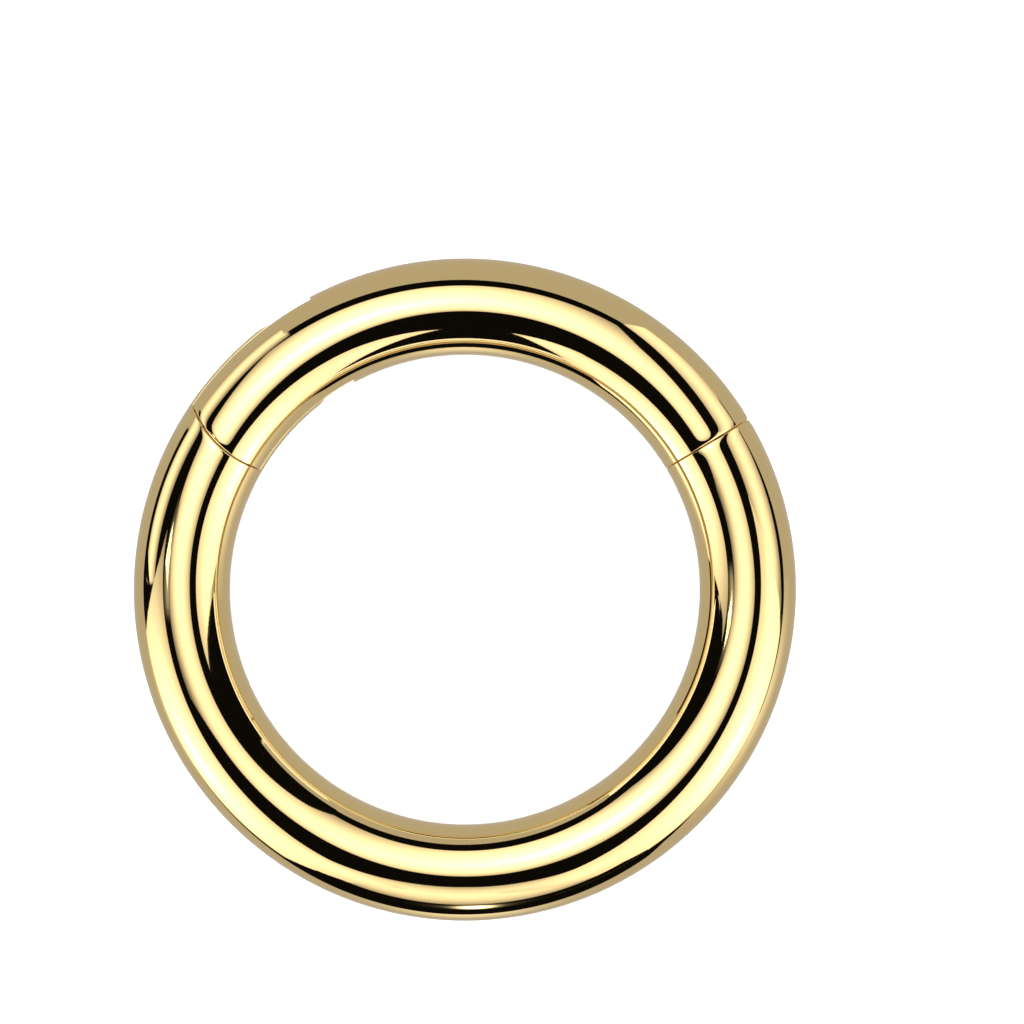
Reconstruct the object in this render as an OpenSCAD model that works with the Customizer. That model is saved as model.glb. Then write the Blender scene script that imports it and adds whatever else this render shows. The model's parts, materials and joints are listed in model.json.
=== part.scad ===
// Hinged segment clicker: a plain round ring that opens on a hinge and clicks shut.
// The closed ring lies flat. The origin is at the middle of its hole, on the surface it lies on.
// A bearing is in degrees, clockwise from the +Y side when the ring is seen from above.

/* [Ring] */
// Diameter of the round wire
wire_d = 2.05; // [1.85:0.05:2.4]
// Clear diameter of the hole in the closed ring
hole_d = 10.0; // [9:0.5:14]
// Bearing of the straight seam where the segment closes on the hoop
closure_bearing = 59; // [50:1:70]

/* [Hinge] */
// Bearing of the hinge pin
pin_bearing = -40; // [-41:0.5:-39]
// Diameter of the hinge pin
pin_d = 0.6; // [0.4:0.05:0.7]
// Width of the slot in the segment that holds the tongue of the hoop
slot_w = 0.66; // [0.54:0.02:0.8]
// Bearing of the closed end of the slot
slot_end_bearing = -28; // [-28:0.5:-25]
// Diameter of the round end that the segment turns on, at the curved seam
seam_d = 4.52; // [4.4:0.02:4.6]
// Bearing of the centre of that round end
seam_bearing = -37.9; // [-38.5:0.1:-37.5]
// How far that centre lies inside the middle line of the wire
seam_inset = 0.06; // [0:0.01:0.12]

/* [Catch] */
// Diameter of the catch post that the segment clicks over
catch_d = 0.4; // [0.3:0.05:0.45]
// How far the post stands out of the end of the hoop
catch_reach = 0.42; // [0.3:0.02:0.44]
// How far the post is set in the hoop
catch_set = 0.6; // [0.4:0.05:1]
// How far the post lies outside the middle line of the wire
catch_offset = 0.15; // [0.1:0.01:0.2]

/* [Gaps] */
// Gap at the straight seam and at the curved seam
seam_gap = 0.03; // [0.02:0.01:0.06]
// Gap on each side of the tongue in its slot
tongue_gap = 0.03; // [0.02:0.01:0.06]
// Gap round the hinge pin in the tongue, which turns on it
running_gap = 0.03; // [0.02:0.01:0.06]
// Gap round a pin in the hole that it is set in
set_gap = 0.01; // [0.01:0.005:0.02]
// Gap round the catch post in its pocket
catch_gap = 0.04; // [0.03:0.01:0.06]

/* [Hidden] */
$fn = 96;

wire_r = wire_d / 2;
// Radius of the middle line of the wire
ring_r = (hole_d + wire_d) / 2;
tongue_w = slot_w - 2 * tongue_gap;
// The tongue ends in a full round, a little wider than the wire so that the two surfaces cross
tongue_end_r = 1.015 * wire_r;
// Half of the straight seam's gap, as an angle round the ring
closure_half_gap = seam_gap / 2 / ring_r * 180 / PI;
// The pin stops halfway up the upper cheek, so that it doesn't show from above
pin_top = (slot_w / 2 + wire_r) / 2;
// The pocket is longer towards the hole, because the segment leaves the post at a slant
hinge_to_catch = [ring_r * (sin(closure_bearing) - sin(pin_bearing)),
                  ring_r * (cos(closure_bearing) - cos(pin_bearing))];
leaving_slant = atan2(hinge_to_catch[0], hinge_to_catch[1]) - closure_bearing;
pocket_w = catch_d + 2 * catch_gap;
pocket_depth = catch_reach + 2 * catch_gap;
pocket_run = catch_reach * tan(leaving_slant) + catch_gap;
// A little narrower than the pocket's round ends, so that the outlines cross
pocket_flat = 0.98 * pocket_w;
// Width and height of a cutter that runs past the wire on every side
past_wire = 2 * wire_d;
// Bearings on the hoop's side of the curved seam, and past the tip of the tongue
past_seam = seam_bearing - 30;
past_tongue = pin_bearing + 15;

gold = [0.83, 0.69, 0.40];

// Puts its children on the middle line of the wire, with +X clockwise along it and +Y outwards
module on_wire(bearing, outwards = 0) {
    rotate(-bearing) translate([0, ring_r + outwards, wire_r]) children();
}

// Turns a profile about the ring's own axis, from one bearing clockwise to another
module swept(from, to) {
    translate([0, 0, wire_r])
        rotate_extrude(start = 90 - to, angle = to - from) translate([ring_r, 0]) children();
}

// Stretch of the round wire
module wire(from, to) {
    swept(from, to) circle(r = wire_r);
}

// Flat band that follows the wire and is wider than it
module band(from, to, height) {
    swept(from, to) square([past_wire, height], center = true);
}

// Upright round bar about the centre of the curved seam
module seam_round(radius, height) {
    on_wire(seam_bearing, -seam_inset) cylinder(r = radius, h = height, center = true);
}

// Upright round bar about the hinge pin
module pin_round(radius, height = past_wire) {
    on_wire(pin_bearing) cylinder(r = radius, h = height, center = true);
}

// Bar of the catch post's outline, from one depth to another along the wire
module catch_bar(from, to, gap) {
    on_wire(closure_bearing, catch_offset) translate([from, 0, 0]) rotate([0, 90, 0])
        cylinder(d = catch_d + 2 * gap, h = to - from);
}

// Pocket for the catch post: a slot with round ends in the end face of the segment
module catch_pocket() {
    on_wire(closure_bearing, catch_offset) translate([-pocket_depth, 0, 0]) rotate([0, 90, 0])
        linear_extrude(2 * pocket_depth) {
            circle(d = pocket_w);
            translate([0, -pocket_run]) circle(d = pocket_w);
            translate([-pocket_flat / 2, -pocket_run]) square([pocket_flat, pocket_run]);
        }
}

// Main arc of the ring, which ends in the hinge's tongue
module hoop() {
    color(gold) difference() {
        wire(closure_bearing + closure_half_gap, 360 + slot_end_bearing - 1);
        // Room above and below the tongue for the cheeks of the segment
        for (side = [-1, 1])
            translate([0, 0, side * (tongue_w + past_wire) / 2])
                seam_round(seam_d / 2 + seam_gap, past_wire);
        // Full round at the end of the tongue
        difference() {
            band(pin_bearing, past_tongue, past_wire);
            pin_round(tongue_end_r, 2 * past_wire);
        }
        pin_round(pin_d / 2 + running_gap);
        catch_bar(-catch_reach, catch_set + set_gap, set_gap);
    }
}

// Hinged arc, with a fork of two cheeks round the tongue
module segment() {
    color(gold) difference() {
        wire(past_seam, closure_bearing - closure_half_gap);
        // What lies past the curved seam
        difference() {
            band(past_seam - 1, seam_bearing, past_wire);
            seam_round(seam_d / 2, 2 * past_wire);
        }
        band(past_seam - 1, slot_end_bearing, slot_w);
        // Hole for the hinge pin, closed at the top
        translate([0, 0, pin_top + set_gap - past_wire / 2]) pin_round(pin_d / 2 + set_gap);
        catch_pocket();
    }
}

// Hinge pin, held in the cheeks and ground flush with the wire underneath
module hinge_pin() {
    color(gold) intersection() {
        translate([0, 0, pin_top - past_wire / 2]) pin_round(pin_d / 2);
        wire(past_seam, past_tongue);
    }
}

// Catch post, set in the end of the hoop and hidden in the segment's pocket
module catch_pin() {
    color(gold) catch_bar(-catch_reach, catch_set, 0);
}

hoop();
segment();
hinge_pin();
catch_pin();
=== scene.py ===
"""Looks of the hinged segment clicker: its polished arcs and pins, the light round it and the camera."""

import json
import math

import bmesh
import bpy
import numpy as np
from bpy.props import FloatProperty, FloatVectorProperty, PointerProperty
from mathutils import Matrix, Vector
from mathutils.geometry import tessellate_polygon


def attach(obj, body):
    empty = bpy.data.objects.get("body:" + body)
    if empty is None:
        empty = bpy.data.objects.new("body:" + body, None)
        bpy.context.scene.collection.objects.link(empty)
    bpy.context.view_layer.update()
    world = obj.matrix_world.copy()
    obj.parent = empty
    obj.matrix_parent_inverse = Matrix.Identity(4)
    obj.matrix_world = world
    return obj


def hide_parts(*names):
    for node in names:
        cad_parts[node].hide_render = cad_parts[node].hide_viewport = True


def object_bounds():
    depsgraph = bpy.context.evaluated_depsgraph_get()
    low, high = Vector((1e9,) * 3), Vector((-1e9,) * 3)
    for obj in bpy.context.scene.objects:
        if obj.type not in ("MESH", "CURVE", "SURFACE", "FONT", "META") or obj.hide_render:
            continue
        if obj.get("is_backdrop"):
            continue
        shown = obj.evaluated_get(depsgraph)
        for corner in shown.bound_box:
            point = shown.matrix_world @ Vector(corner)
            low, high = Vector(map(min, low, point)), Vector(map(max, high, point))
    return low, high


bl_info = {
    "name": "Hinged segment clicker",
    "version": (1, 0, 0),
    "blender": (4, 5, 0),
    "location": "View3D > Sidebar > Clicker",
    "description": "Makes a polished hinged segment ring, and the studio that it lies in",
    "category": "Object",
}

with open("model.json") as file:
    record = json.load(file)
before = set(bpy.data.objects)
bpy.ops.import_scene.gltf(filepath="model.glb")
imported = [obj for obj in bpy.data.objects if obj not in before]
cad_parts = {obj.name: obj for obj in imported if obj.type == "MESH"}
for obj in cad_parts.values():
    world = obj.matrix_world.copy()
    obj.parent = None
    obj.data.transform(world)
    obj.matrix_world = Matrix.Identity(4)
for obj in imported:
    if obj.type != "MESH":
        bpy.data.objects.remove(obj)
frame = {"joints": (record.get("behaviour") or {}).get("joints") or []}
cad_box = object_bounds()

MM = 0.001
UP = np.array([0.0, 0.0, 1.0])
# Points of neighbouring patches that lie this close are one point
SAME_POINT = 0.0001 * MM
# Slope of the two walls of the fine groove at a seam
GROOVE_SLOPE = math.radians(60)

CAD_WIRE = round(cad_box[1].z - cad_box[0].z, 5)
CAD_HOLE = round(cad_box[1].x - cad_box[0].x - 2 * CAD_WIRE, 5)
hinge = frame["joints"][0]["pos_m"]
CAD_PIN_BEARING = math.atan2(hinge[0], hinge[1])


# Settings

def length(name, description, default):
    return FloatProperty(name=name, description=description, default=default, min=0.0,
                         precision=6, unit="LENGTH", subtype="DISTANCE")


def bearing(name, description, default):
    return FloatProperty(name=name, description=description + ", clockwise from the ring's +Y side",
                         default=default, unit="ROTATION", subtype="ANGLE")


def level(name, description, default):
    return FloatProperty(name=name, description=description, default=default, min=0.0)


class RingSizes(bpy.types.PropertyGroup):
    """Sizes of the ring's arcs, hinge and catch."""
    wire: length("Wire", "Diameter of the round wire", CAD_WIRE)
    hole: length("Hole", "Clear diameter of the closed ring's hole", CAD_HOLE)
    closure: bearing("Closure", "Bearing of the straight seam", math.radians(59))
    pivot: bearing("Pivot", "Bearing of the hinge pin", CAD_PIN_BEARING)
    slot_end: bearing("Slot end", "Bearing of the closed end of the slot", math.radians(-28))
    seam_centre: bearing("Seam centre", "Bearing of the curved seam's centre", math.radians(-37.9))
    seam_inset: length("Seam inset", "How far that centre lies inside the middle line", 0.06 * MM)
    seam_width: length("Seam diameter", "Diameter of the round end at the curved seam", 4.52 * MM)
    seam_gap: length("Seam gap", "Gap between the two arcs at a seam", 0.003 * MM)
    slot: length("Slot", "Width of the slot between the cheeks", 0.66 * MM)
    tongue: length("Tongue", "Thickness of the tongue in the slot", 0.60 * MM)
    tongue_end: length("Tongue end", "Diameter of the tongue's round end", 2.08 * MM)
    pin: length("Hinge pin", "Diameter of the hinge pin", 0.6 * MM)
    pin_top: length("Pin top", "Height of the pin's top above the middle of the wire", 0.6775 * MM)
    pin_gap: length("Pin gap", "Gap round the hinge pin in the tongue", 0.03 * MM)
    set_gap: length("Set gap", "Gap round a pin in the hole that it is set in", 0.01 * MM)
    post: length("Catch post", "Diameter of the catch post", 0.4 * MM)
    post_reach: length("Post reach", "How far the catch post stands out", 0.42 * MM)
    post_set: length("Post set", "How far the catch post is set in the hoop", 0.6 * MM)
    post_offset: length("Post offset", "How far the post lies outside the middle line", 0.15 * MM)
    pocket: length("Pocket", "Width of the pocket for the catch post", 0.48 * MM)
    pocket_run: length("Pocket run", "How much longer the pocket is towards the hole", 0.40 * MM)
    pocket_depth: length("Pocket depth", "Depth of the pocket", 0.5 * MM)
    edge_wear: length("Edge wear", "How deep polishing has worn the seams' edges", 0.026 * MM)
    edge_reach: length("Edge reach", "How far from a seam the wear falls to a third", 0.052 * MM)
    edge_round: length("Edge round", "Radius of the rounded corner at a seam", 0.035 * MM)
    groove: length("Groove", "Width of the fine groove that the two arcs leave at a seam", 0.030 * MM)
    slot_round: length("Slot round", "Radius of the rounded edges of slot and tongue", 0.015 * MM)
    lip: length("Lip", "Radius of the rounded rim of a hole", 0.015 * MM)


class GoldFinish(bpy.types.PropertyGroup):
    """Finish of the gold-coloured coating."""
    colour: FloatVectorProperty(name="Colour", description="Colour of the polished coating", size=3,
                                subtype="COLOR", default=(1.0, 0.745, 0.345), min=0, max=1)
    pin_colour: FloatVectorProperty(name="Pin colour", description="Colour of the pins", size=3,
                                    subtype="COLOR", default=(0.96, 0.72, 0.35), min=0, max=1)
    roughness: level("Roughness", "Roughness of the mirror polish", 0.03)
    cut_roughness: level("Cut roughness", "Roughness of the milled faces inside the seams", 0.28)
    cut_depth: length("Cut depth", "Depth of the grain on the milled faces", 0.002 * MM)
    waviness: length("Waviness", "Height of the soft waves that polishing leaves", 0.0012 * MM)
    marks: length("Marks", "Depth of the faint marks that run round the wire", 0.00012 * MM)


class StudioLight(bpy.types.PropertyGroup):
    """Brightness of what the polished metal mirrors."""
    overhead: level("Overhead softbox", "Brightness in the middle of the overhead softbox", 2.2)
    side_boxes: level("Side softboxes", "Brightness in the middle of the softboxes at the sides", 2.1)
    lamp: level("Lamp", "Added brightness where a softbox's lamp shines through", 1.2)
    panels: level("Panels", "Brightness in the middle of the white panels", 1.35)
    strips: level("Strips", "Brightness of the narrow strips near the ring", 1.2)
    table: level("Table", "Brightness of the tan surroundings at the level of the ring", 0.48)
    twice: level("Mirrored twice", "Brightness of a lit card that the metal mirrors twice", 1.25)
    again: level("Mirrored again", "Share of that brightness after a third mirroring", 0.28)
    paler: FloatVectorProperty(name="Paler", size=3, subtype="COLOR", default=(1.0, 1.3, 2.2), min=0,
                               description="Tint of a card that the metal mirrors twice")
    black: level("Black", "Brightness of the black flags and of the dark room overhead", 0.004)
    floor: level("Floor light", "Brightness of the light that falls on the floor", 2.1)


# The wire, laid out straight and bent round the ring

def along(turn):
    """Direction clockwise along the ring at a bearing."""
    return np.stack([np.cos(turn), -np.sin(turn), np.zeros_like(turn)], -1)


def outwards(turn):
    """Direction away from the middle of the ring at a bearing."""
    return np.stack([np.sin(turn), np.cos(turn), np.zeros_like(turn)], -1)


def unit(vectors):
    return vectors / np.linalg.norm(vectors, axis=-1, keepdims=True)


def smooth(value, start, end):
    """Rises gently from 0 at start to 1 at end."""
    t = np.clip((value - start) / (end - start), 0, 1)
    return t * t * (3 - 2 * t)


class Wire:
    """Places on the round wire. A point of the straight blank is its arc length, offset and height."""

    def __init__(self, sizes):
        self.radius = sizes.wire / 2
        self.ring = (sizes.hole + sizes.wire) / 2

    def bent(self, blank):
        """Points of the blank, bent round the ring."""
        turn, reach = blank[..., 0] / self.ring, self.ring + blank[..., 1]
        return outwards(turn) * reach[..., None] + UP * (blank[..., 2] + self.radius)[..., None]

    def place(self, turn, offset, height):
        """Point of the blank at a bearing, an offset outwards and a height over the middle line."""
        return np.stack(np.broadcast_arrays(turn * self.ring, offset, height), -1)

    def from_plan(self, plan, height):
        """Point of the blank over a point of the ring's plan, on the side that holds the hinge."""
        turn = np.arctan2(plan[..., 0], plan[..., 1])
        return self.place(turn, np.linalg.norm(plan[..., :2], axis=-1) - self.ring, height)

    def beside(self, turn, forwards, offset, height):
        """Point of the blank at a straight distance forwards from a bearing."""
        plan = outwards(turn) * (self.ring + offset)[..., None] + along(turn) * forwards[..., None]
        ahead = np.arctan2((plan * along(turn)).sum(-1), (plan * outwards(turn)).sum(-1))
        return self.place(turn + ahead, np.linalg.norm(plan, axis=-1) - self.ring, height)

    def mirrors(self, turn, polar, reach, side):
        """Point at a reach from the ring's axis that the closed ring mirrors to a camera overhead.

        It is on a bearing, and at an angle from straight up where the wire mirrors it on its
        outer side, or with -1 as side on the far arc's inner side. Both are in degrees.
        """
        turn, polar = math.radians(turn), math.radians(polar)
        across = reach - side * self.ring - self.radius * math.sin(polar / 2)
        height = self.radius * (1 + math.cos(polar / 2)) + across / math.tan(polar)
        return outwards(turn) * reach + UP * height


class StraightEnd:
    """Flat end face across the wire. Way is 1 where the metal lies clockwise of it, otherwise -1."""

    def __init__(self, wire, turn, way):
        self.wire, self.turn, self.way = wire, turn, way

    def bearing(self, depth, offset):
        return self.turn + self.way * depth / (self.wire.ring + offset)

    def facing(self, turn, offset):
        return -self.way * along(np.full_like(offset, self.turn))


class CurvedEnd:
    """End face on an upright round at the hinge. Way is 1 where the metal is outside the round."""

    def __init__(self, wire, centre_turn, centre_reach, radius, way):
        self.wire, self.turn, self.reach = wire, centre_turn, centre_reach
        self.radius, self.way = radius, way

    def bearing(self, depth, offset):
        reach, radius = self.wire.ring + offset, self.radius + self.way * depth
        cosine = (reach ** 2 + self.reach ** 2 - radius ** 2) / (2 * reach * self.reach)
        return self.turn - np.arccos(cosine)

    def facing(self, turn, offset):
        centre = outwards(self.turn) * self.reach
        point = outwards(turn) * (self.wire.ring + offset)[..., None]
        return -self.way * unit(point - centre)


# Spaces between the rows on the wire's top or underside, on its outer or inner side, and on a corner
BROAD, NARROW, CORNER = 40, 10, 5
# Spaces between the columns along the hoop, along the segment's arm and along a cheek
HOOP_COLUMNS, ARM_COLUMNS, CHEEK_COLUMNS = 220, 86, 30
# Spaces between the columns along a side of the tongue and round its end
SIDE_COLUMNS, NOSE_COLUMNS = 17, 60
# Steps of the rounded corner at a seam, of the worn surface beside it and of a hole's lip
ROUND_STEPS, WORN_STEPS, LIP_STEPS = 6, 12, 3


def round_rows(radius, start, end, count):
    """Rows of the wire's section: offset, height, and the angle of its normal from straight up."""
    angle = np.radians(np.linspace(start, end, count + 1))
    return np.stack([radius * np.sin(angle), radius * np.cos(angle), angle], -1)


def corner_rows(radius, height, rounding, above):
    """Rows of the rounded corner from the wire's side to a flat; above if the metal is above it."""
    centre = height + rounding if above else height - rounding
    reach = radius - rounding
    offset = math.sqrt(reach ** 2 - centre ** 2)
    angle = np.linspace(math.acos(centre / reach), math.pi if above else 0, CORNER + 1)
    return np.stack([offset + rounding * np.sin(angle), centre + rounding * np.cos(angle), angle], -1)


def mirrored(rows):
    """The same rows on the side of the wire towards the hole, in the opposite order."""
    return rows[::-1] * (-1, 1, -1)


def turned_over(rows):
    """The same rows on the underside of the wire."""
    return rows * (1, -1, 1) * (1, 1, -1) + (0, 0, math.pi)


def edge_profile(sizes, worn, rounded, grooved):
    """Depth, drop and lean of the columns from an end face to the plain wire, for each row.

    Worn, rounded and grooved are each row's shares of the edge's wear, rounding and groove.
    """
    wear, reach, corner = sizes.edge_wear * worn, sizes.edge_reach, sizes.edge_round * rounded
    half, steep = sizes.groove / 2 * grooved, GROOVE_SLOPE
    # The corner ends where the worn surface has the corner's own slope, found in ever closer steps
    start = np.zeros_like(worn)
    for _ in range(20):
        lean = np.arctan(wear / reach * np.exp(-start / reach))
        start = half + corner * (math.sin(steep) - np.sin(lean))
    share = np.linspace(0, 1, ROUND_STEPS + 1)[:, None]
    leans = steep * (1 - share) + lean * share
    depths = half + corner * (math.sin(steep) - np.sin(leans))
    drops = wear * np.exp(-start / reach) + corner * (np.cos(lean) - np.cos(leans))
    # The columns of the worn surface lie closer together towards the seam, and end where little is worn
    end = 6 * reach
    share = np.linspace(0, 1, WORN_STEPS + 1)[1:, None] ** 2
    depth = start + (end - start) * share
    drop = wear * np.exp(-depth / reach) * (share < 1)
    # The groove's wall runs down at the same slope to the end face
    return (np.concatenate([0 * half[None], depths, depth]),
            np.concatenate([drops[:1] + half * math.tan(steep), drops, drop]),
            np.concatenate([leans[:1], leans, np.arctan(drop / reach)]))


def sharp(rows):
    """The one column of an end whose edge is left sharp."""
    return (np.zeros((1, len(rows))),) * 3


class Skin:
    """One closed surface made of patches on the straight blank, with normals as in the bent ring."""

    def __init__(self, wire):
        self.wire = wire
        self.points, self.normals, self.faces, self.cut = [], [], [], []
        self.count = 0

    def _add(self, points, normals, faces, cut):
        start = self.count
        self.points.append(points.reshape(-1, 3))
        self.normals.append(np.broadcast_to(normals, points.shape).reshape(-1, 3))
        self.count += len(self.points[-1])
        self.faces += [tuple(start + k for k in face) for face in faces]
        self.cut += [cut] * len(faces)

    def grid(self, points, normals, cut=False, window=None):
        """Quads between neighbouring columns and rows; a window of them is left open."""
        columns, rows = points.shape[:2]
        faces = []
        for j in range(columns - 1):
            for i in range(rows - 1):
                if window and window[0] <= j < window[1] and window[2] <= i < window[3]:
                    continue
                k = j * rows + i
                faces.append((k, k + rows, k + rows + 1, k + 1))
        self._add(points, normals, faces, cut)
        return points

    def flat(self, normals, *loops, cut=True):
        """Triangles that fill the first loop and leave the others open."""
        # The tessellator takes lengths for millimetres as too short to tell apart
        bent = [[Vector(p) for p in self.wire.bent(loop) / SAME_POINT] for loop in loops]
        points = np.concatenate(loops)
        self._add(points, normals, tessellate_polygon(bent), cut)

    def columns(self, end, rows, profile):
        """Points and normals of the columns beside an end, from its face inwards."""
        points, normals = [], []
        angle = rows[:, 2]
        for depth, drop, lean in zip(*profile):
            offset = rows[:, 0] - drop * np.sin(angle)
            height = rows[:, 1] - drop * np.cos(angle)
            turn = end.bearing(depth, offset)
            side = outwards(turn) * np.sin(angle)[:, None] + UP * np.cos(angle)[:, None]
            points.append(self.wire.place(turn, offset, height))
            normals.append(unit(np.cos(lean)[:, None] * side
                                + np.sin(lean)[:, None] * end.facing(turn, offset)))
        return np.stack(points), np.stack(normals)

    def tube(self, rows, first, last, count, around=None):
        """Surface along the wire between two ends, each given as its end and its edge's profile.

        With a bearing and a half width as around, it leaves a window there, and returns it too.
        """
        start, start_normals = self.columns(first[0], rows, first[1])
        stop, stop_normals = self.columns(last[0], rows, last[1])
        share = np.linspace(0, 1, count + 1)[1:-1, None]
        turn = (start[-1, :, 0] * (1 - share) + stop[-1, :, 0] * share) / self.wire.ring
        middle = self.wire.place(turn, rows[:, 0], rows[:, 1])
        side = (outwards(turn) * np.sin(rows[:, 2])[:, None] + UP * np.cos(rows[:, 2])[:, None])
        points = np.concatenate([start, middle, stop[::-1]])
        normals = np.concatenate([start_normals, side, stop_normals[::-1]])
        if not around:
            return self.grid(points, normals)
        middle = len(rows) // 2
        ahead = points[:, middle, 0] - around[0] * self.wire.ring
        across = np.abs(rows[:, 0]) < around[1]
        window = (np.searchsorted(ahead, -around[1]) - 1, np.searchsorted(ahead, around[1]),
                  np.flatnonzero(across)[0] - 1, np.flatnonzero(across)[-1] + 1)
        return self.grid(points, normals, window=window), window

    def cap(self, end, edge, corner, height):
        """Upright end face from the edge of a rounded shoulder down to a flat, and its lower edge."""
        inside = np.flatnonzero(np.abs(edge[:, 1]) < corner[-1, 0])
        inner = edge[inside]
        turn = end.bearing(0, inner[:, 1])
        low = self.wire.place(turn, inner[:, 1], height)
        facing = end.facing(turn, inner[:, 1])
        self.grid(np.stack([inner, low]), np.stack([facing, facing]), cut=True)
        for side, outer in ((1, edge[inside[-1]:]), (-1, edge[:inside[0] + 1][::-1])):
            rounding = self.wire.place(end.bearing(0, corner[1:, 0] * side),
                                       corner[1:, 0] * side, corner[1:, 1])
            foot = low[-1 if side > 0 else 0][None]
            loop = np.concatenate([foot, outer, rounding])
            # One fan from the foot, and one from the edge's last point before its tip
            tip, count = len(outer), len(loop)
            faces = [(0, k, k + 1) for k in range(1, tip - 1)]
            faces += [(tip - 1, k, (k + 1) % count) for k in range(tip, count)]
            self._add(loop, end.facing(end.bearing(0, loop[:, 1]), loop[:, 1]), faces, True)
        tips = self.wire.place(end.bearing(0, corner[-1:, 0]), corner[-1:, 0], height)
        tails = self.wire.place(end.bearing(0, -corner[-1:, 0]), -corner[-1:, 0], height)
        return np.concatenate([tails, low, tips])

    def hole(self, rim, put, turned, axis, depth, lip, through=False):
        """Wall of a hole behind a loop of a face; returns its rim there and its far rim.

        rim gives the loop's points and normals when it is widened by a length, put places them at a
        depth, turned makes directions of the normals, and axis points out of the opening.
        """
        leans = np.linspace(math.pi / 2, 0, LIP_STEPS + 1)
        steps = [(lip * (1 - math.sin(a)), lip * (1 - math.cos(a)), a) for a in leans]
        if through:
            steps += [(depth - d, grow, -lean) for d, grow, lean in reversed(steps)]
        else:
            steps.append((depth, 0, 0))
        points, normals = [], []
        for down, grow, lean in steps:
            loop, sides = rim(grow)
            points.append(put(loop, down))
            normals.append(-math.cos(lean) * turned(sides) + math.sin(lean) * axis)
        points, normals = np.stack(points), np.stack(normals)
        self.grid(np.concatenate([points, points[:, :1]], 1),
                  np.concatenate([normals, normals[:, :1]], 1), cut=True)
        if not through:
            self.flat(axis, points[-1])
        return points[0], points[-1]

    def window_ring(self, points, window, centre, radius, rings=6):
        """Fills a window of the wire's underside round an upright hole; returns the hole's rim."""
        first, last, low, high = window
        loop = np.concatenate([points[first:last, low], points[last, low:high],
                               points[last:first:-1, high], points[first, high:low:-1]])
        loop = np.concatenate([loop, loop[:1]])
        plan = self.wire.bent(loop)[:, :2]
        ray = unit(plan - centre)
        inner = centre + ray * radius
        share = np.linspace(0, 1, rings + 1)[:, None, None]
        between = plan * (1 - share) + inner * share
        reach = np.linalg.norm(between, axis=-1)
        offset = reach - self.wire.ring
        height = -np.sqrt(self.wire.radius ** 2 - offset ** 2)
        blank = self.wire.from_plan(between, height)
        blank[0] = loop
        side = (between / reach[..., None]) * (offset / self.wire.radius)[..., None]
        normals = np.concatenate([side, (height / self.wire.radius)[..., None]], -1)
        self.grid(blank, normals)
        return blank[-1][:-1]

    def mesh(self, name):
        """The blank as a mesh, and each face's corner normals."""
        points, normals = np.concatenate(self.points), np.concatenate(self.normals)
        gather = bmesh.new()
        for p in points:
            gather.verts.new(p)
        gather.verts.index_update()
        found = bmesh.ops.find_doubles(gather, verts=gather.verts[:], dist=SAME_POINT)["targetmap"]
        target = np.arange(len(points))
        for vertex, kept in found.items():
            target[vertex.index] = kept.index
        gather.free()
        kept, target = np.unique(target, return_inverse=True)
        bent = self.wire.bent(points)
        faces, corner_normals, cut = [], [], []
        for face, is_cut in zip(self.faces, self.cut):
            corners = [k for n, k in enumerate(face) if target[k] != target[face[n - 1]]]
            if len(corners) < 3:
                continue
            a, b, c, *fourth = bent[corners]
            across = np.cross(c - a, fourth[0] - b) if fourth else np.cross(b - a, c - a)
            if across @ normals[corners].sum(0) < 0:
                corners.reverse()
            faces.append([int(target[k]) for k in corners])
            corner_normals += [normals[k] for k in corners]
            cut.append(is_cut)
        mesh = bpy.data.meshes.new(name)
        mesh.from_pydata(points[kept].tolist(), [], faces, shade_flat=False)
        mesh.attributes.new("cut", "BOOLEAN", "FACE").data.foreach_set("value", cut)
        return mesh, np.array(corner_normals)


# Node trees

class Socket:
    """Output of a node. Arithmetic on it adds Math nodes to its tree."""

    def __init__(self, graph, node, output=0):
        self.graph, self.node = graph, node
        self.socket = node.outputs[output] if node.outputs else None

    def __getitem__(self, output):
        return Socket(self.graph, self.node, output)

    def _math(self, operation, *values):
        return self.graph.node("ShaderNodeMath", {"operation": operation}, dict(enumerate(values)))

    def __add__(self, other):
        return self._math("ADD", self, other)

    def __sub__(self, other):
        return self._math("SUBTRACT", self, other)

    def __rsub__(self, other):
        return self._math("SUBTRACT", other, self)

    def __mul__(self, other):
        return self._math("MULTIPLY", self, other)

    def __truediv__(self, other):
        return self._math("DIVIDE", self, other)

    def __rtruediv__(self, other):
        return self._math("DIVIDE", other, self)

    def __pow__(self, other):
        return self._math("POWER", self, other)

    def __rpow__(self, other):
        return self._math("POWER", other, self)

    __radd__ = __add__
    __rmul__ = __mul__

    def sine(self):
        return self._math("SINE", self)

    def cosine(self):
        return self._math("COSINE", self)

    def above(self, threshold):
        return self._math("GREATER_THAN", self, threshold)


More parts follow.
